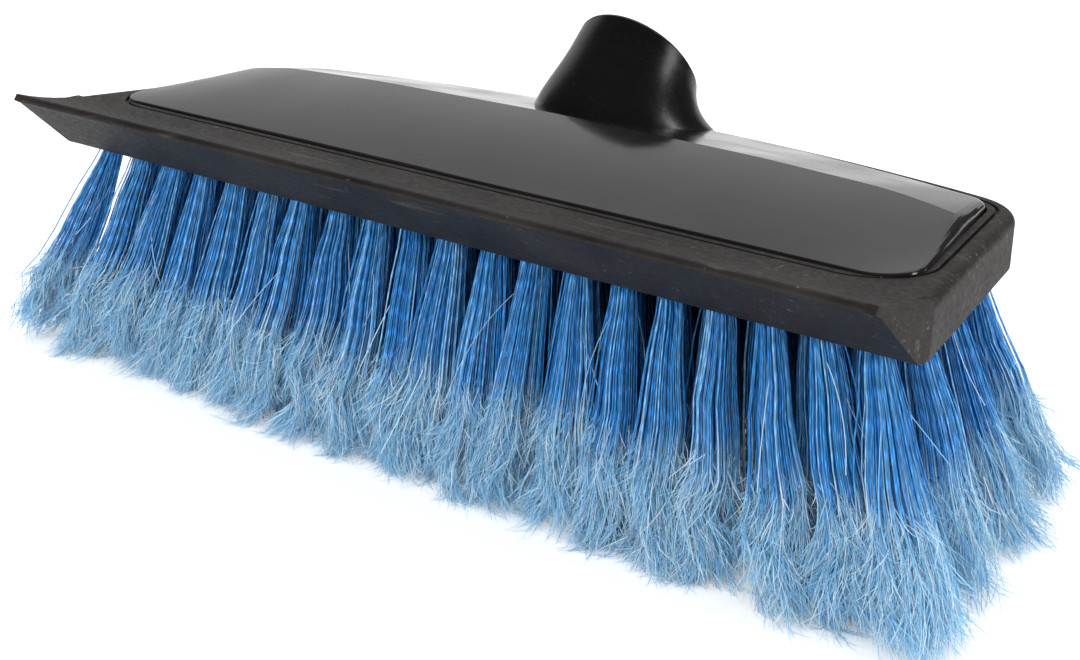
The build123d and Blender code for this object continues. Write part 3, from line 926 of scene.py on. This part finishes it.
def hood_rings():
    """Rings of the hood from its foot to the bore's floor: centre, lean and radius."""
    back_slope = (RIDGE_Z - BACK_RIM_Z) / (COVER_BACK_Y - RIDGE_Y)
    base_z = RIDGE_Z - back_slope * (BASE_Y - RIDGE_Y)
    base_lean = math.atan(back_slope)
    steps = np.linspace(0, 1, len(HOOD_RISE_SHARES))
    shares = (HOOD_RISE_SHARES, HOOD_BACK_SHARES, HOOD_FLARE_SHARES, HOOD_TURN_SHARES)
    curves = [np.polyfit(steps, values, len(steps) - 1) for values in shares]
    rings = []
    for share in np.linspace(HOOD_FIRST_SHARE, HOOD_LAST_SHARE, HOOD_RINGS):
        rise, back, flare, turn = [np.polyval(curve, share) for curve in curves]
        centre = (0, BASE_Y + MOUTH_BACK * back, base_z + MOUTH_RISE * rise)
        rings.append((centre, base_lean + (MOUTH_LEAN - base_lean) * turn, MOUTH_R + BASE_FLARE * flare))
    axis = np.array((0, math.sin(MOUTH_LEAN), math.cos(MOUTH_LEAN)))
    mouth = np.array((0, BASE_Y + MOUTH_BACK, base_z + MOUTH_RISE))
    for depth, inset in LIP_OUTER:
        rings.append((mouth - axis * depth, MOUTH_LEAN, MOUTH_R - inset))
    for depth, outset in LIP_INNER:
        rings.append((mouth - axis * depth, MOUTH_LEAN, BORE_R + outset))
    return rings, mouth, axis


def ring_skin(name, rings, sides):
    """A circle that is extruded, turned and resized from ring to ring, closed at both ends."""
    centre, lean, radius = rings[0]
    bpy.ops.object.select_all(action="DESELECT")
    bpy.ops.mesh.primitive_circle_add(
        vertices=sides,
        radius=radius / PER_METRE,
        fill_type="NGON",
        location=metres(centre),
        rotation=(-lean, 0, 0),
    )
    piece = bpy.context.object
    piece.name = name
    bpy.ops.object.transform_apply(location=True, rotation=True, scale=True)
    edit(piece)
    for next_centre, next_lean, next_radius in rings[1:]:
        move = (np.array(next_centre) - np.array(centre)) / PER_METRE
        grow = next_radius / radius
        bpy.ops.mesh.extrude_region_move(TRANSFORM_OT_translate={"value": tuple(move)})
        bpy.ops.transform.resize(value=(grow, grow, grow))
        if abs(next_lean - lean) > 1e-6:
            bpy.ops.transform.rotate(value=next_lean - lean, orient_axis="X")
        centre, lean, radius = next_centre, next_lean, next_radius
    bpy.ops.mesh.select_all(action="SELECT")
    bpy.ops.mesh.normals_make_consistent(inside=False)
    close()
    return piece


def trim(piece, place, normal):
    """Cuts off what lies beyond a plane and closes the cut."""
    edit(piece)
    bpy.ops.mesh.bisect(plane_co=place, plane_no=normal, use_fill=True, clear_outer=True)
    close()


def build_hood(material):
    """The flared hood with its leaning pole hole, and the thread in it."""
    rings, mouth, axis = hood_rings()
    hood = ring_skin("hood", rings, HOOD_SIDES)
    trim(hood, metres((0, HOOD_BACK_Y, 0)), (0, 1, 0))
    trim(hood, metres((0, 0, HOOD_LOW_Z)), (0, 0, -1))
    only(hood)
    bpy.ops.object.shade_smooth_by_angle(angle=math.radians(32))
    claim(hood, "pole_socket", material)
    thread = build_thread(mouth, axis)
    claim(thread, "pole_socket", material)


def build_thread(mouth, axis):
    """Thread of the pole hole: a blunt ridge turned round and along the bore."""
    bpy.ops.object.select_all(action="DESELECT")
    bpy.ops.mesh.primitive_plane_add(size=1.0, rotation=(math.pi / 2, 0, 0))
    thread = bpy.context.object
    thread.name = "bore_thread"
    bpy.ops.object.transform_apply(location=True, rotation=True, scale=True)
    for vertex in thread.data.vertices:
        crest = vertex.co.x < 0
        half = CREST_HALF if crest else ROOT_HALF
        radius = BORE_R - THREAD_DEPTH if crest else BORE_R + THREAD_ROOT
        vertex.co = (radius / PER_METRE, 0, math.copysign(half, vertex.co.z) / PER_METRE)
    turn = thread.modifiers.new("turn", "SCREW")
    turn.axis = "Z"
    turn.angle = math.tau
    turn.screw_offset = THREAD_PITCH / PER_METRE
    turn.iterations = THREAD_TURNS
    turn.steps = THREAD_STEPS
    turn.render_steps = THREAD_STEPS
    bpy.ops.object.modifier_apply(modifier="turn")
    thread.location = metres(mouth - axis * (BORE_DEPTH - THREAD_FLOOR_GAP))
    thread.rotation_euler = (-MOUTH_LEAN, 0, 0)
    bpy.ops.object.transform_apply(location=True, rotation=True, scale=True)
    edit(thread)
    bpy.ops.mesh.remove_doubles(threshold=MERGE_GAP / PER_METRE)
    bpy.ops.mesh.fill_holes(sides=8)
    bpy.ops.mesh.normals_make_consistent(inside=False)
    close()
    bpy.ops.object.shade_smooth_by_angle(angle=math.radians(30))
    return thread


# Studio, in metres
def studio_floor():
    """Pale floor that the camera sees as white, save for its soft shadow."""
    bpy.ops.object.select_all(action="DESELECT")
    bpy.ops.mesh.primitive_plane_add(size=8.0, location=(0, 0, 0))
    floor = bpy.context.object
    floor.name = "studio_floor"
    material, nodes, links, shader = new_material("studio_paper")
    shader.inputs["Base Color"].default_value = (0.9, 0.9, 0.9, 1)
    shader.inputs["Roughness"].default_value = 1.0
    shader.inputs["Specular IOR Level"].default_value = 0.0
    shader.inputs["Emission Color"].default_value = (1, 1, 1, 1)
    path = nodes.new("ShaderNodeLightPath")
    lift = calculate(nodes, links, "MULTIPLY", path.outputs["Is Camera Ray"], FLOOR_GLOW)
    links.new(lift, shader.inputs["Emission Strength"])
    floor.data.materials.append(material)


def studio_world():
    """White to the camera, softly lit for surfaces, and dim for reflections, which the softboxes make."""
    world = bpy.data.worlds.new("studio_world")
    bpy.context.scene.world = world
    world.use_nodes = True
    nodes, links = world.node_tree.nodes, world.node_tree.links
    back = nodes["Background"]
    back.inputs["Color"].default_value = (1, 1, 1, 1)
    path = nodes.new("ShaderNodeLightPath")
    dimmed = ranged(nodes, links, path.outputs["Is Glossy Ray"], to_min=WORLD_LIGHT, to_max=WORLD_MIRRORED)
    seen = calculate(nodes, links, "MAXIMUM", dimmed.outputs["Result"], path.outputs["Is Camera Ray"])
    links.new(seen, back.inputs["Strength"])


def set_pose(holder, right, up, back, place):
    """Places a lamp or the camera, which looks the way opposite to its back."""
    rows = [(right[axis], up[axis], back[axis], place[axis]) for axis in range(3)]
    holder.matrix_world = Matrix((*rows, (0, 0, 0, 1)))


def softbox(name, place, target, width, height, radiance, mirrored=True):
    """Area lamp of a plain brightness, which glossy surfaces may mirror or not."""
    lamp = bpy.data.lights.new(name, "AREA")
    lamp.shape = "RECTANGLE"
    lamp.size = width
    lamp.size_y = height
    lamp.energy = radiance * math.pi * width * height
    holder = bpy.data.objects.new(name, lamp)
    bpy.context.scene.collection.objects.link(holder)
    holder.visible_camera = False
    holder.visible_glossy = mirrored
    back = np.array(place) - np.array(target)
    back = back / np.linalg.norm(back)
    right = np.cross((0, 0, 1.0), back)
    right /= np.linalg.norm(right)
    set_pose(holder, right, np.cross(back, right), back, place)


def studio_lamps():
    """A wide front lamp that makes no mirror image, and three that the glossy pieces mirror."""
    head = (0, 0, 0.06)
    front, back, above, side = (0.1, -1.2, 1.1), (-1.1, 1.3, 0.75), (-0.35, 0.9, 1.5), (1.25, 0.45, 0.5)
    softbox("front_softbox", front, (0, 0, 0.03), width=1.7, height=1.6, radiance=1.35, mirrored=False)
    softbox("back_softbox", back, head, width=3.2, height=1.5, radiance=0.68)
    softbox("end_softbox", above, head, width=2.2, height=0.6, radiance=1.0)
    softbox("side_softbox", side, head, width=0.28, height=0.8, radiance=7.5)


def photo_camera():
    """The photograph's own viewpoint, found from the head's outline."""
    lens = bpy.data.cameras.new("photo_camera")
    lens.sensor_fit = "HORIZONTAL"
    lens.sensor_width = SENSOR_WIDTH
    lens.lens = LENS_LENGTH
    camera = bpy.data.objects.new("photo_camera", lens)
    bpy.context.scene.collection.objects.link(camera)
    right = np.array(EYE_RIGHT)
    forward = np.array(EYE_FORWARD)
    right /= np.linalg.norm(right)
    forward -= right * np.dot(forward, right)
    forward /= np.linalg.norm(forward)
    down = np.cross(forward, right)
    set_pose(camera, right, -down, -forward, metres(EYE))
    bpy.context.scene.camera = camera


# The brush in its studio
build_cover(cover_material())
build_hood(hood_material())
build_surround(rubber_material())
finish_node("bristle_block", block_material())
steel = steel_material()
for node in ("cover_screws", "socket_screws", "tuft_anchors"):
    finish_node(node, steel)
fibre = fibre_material()
for row in range(ROW_COUNT):
    bristle_row(row, fibre)
studio_floor()
studio_world()
studio_lamps()
photo_camera()
bpy.context.scene.view_settings.view_transform = "Standard"
